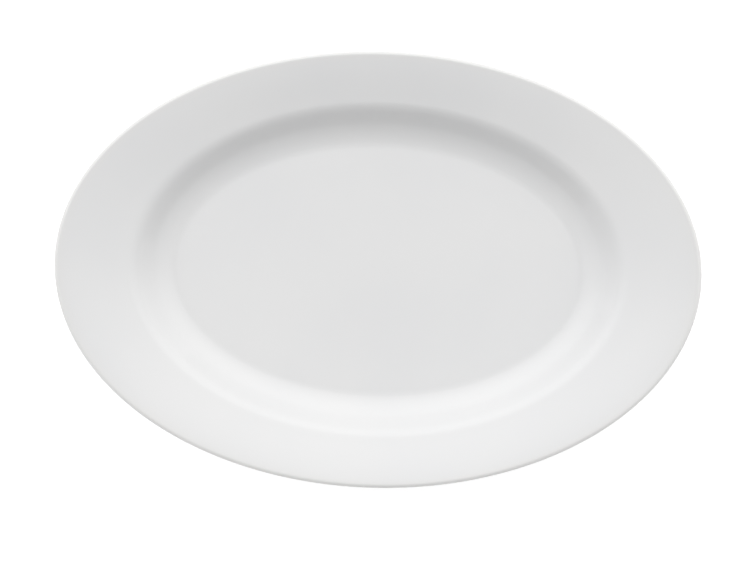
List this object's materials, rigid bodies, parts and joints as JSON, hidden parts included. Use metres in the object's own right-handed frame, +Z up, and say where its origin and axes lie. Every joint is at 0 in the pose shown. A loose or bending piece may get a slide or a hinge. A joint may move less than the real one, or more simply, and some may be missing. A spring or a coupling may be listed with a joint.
{
  "type": "oval serving platter",
  "caption": "Plain white oval serving platter with a broad sloping rim, a coved well with a flat oval floor, a rounded lip and a foot ring.",
  "frame": {"origin": "the point on the table under the centre of the platter, in the plane of the foot ring's bearing face", "axes": "+X along the long axis, +Y along the short axis, +Z up out of the well"},
  "size_m": [0.36, 0.243, 0.028],
  "materials": {
    "bare_porcelain": "fired and unglazed, fine matte",
    "white_glaze": "glossy white glaze"
  },
  "bodies": {
    "root": {"porcelain_body": "bare_porcelain", "glaze_coat": "white_glaze", "base_glaze": "white_glaze"}
  },
  "joints": []
}
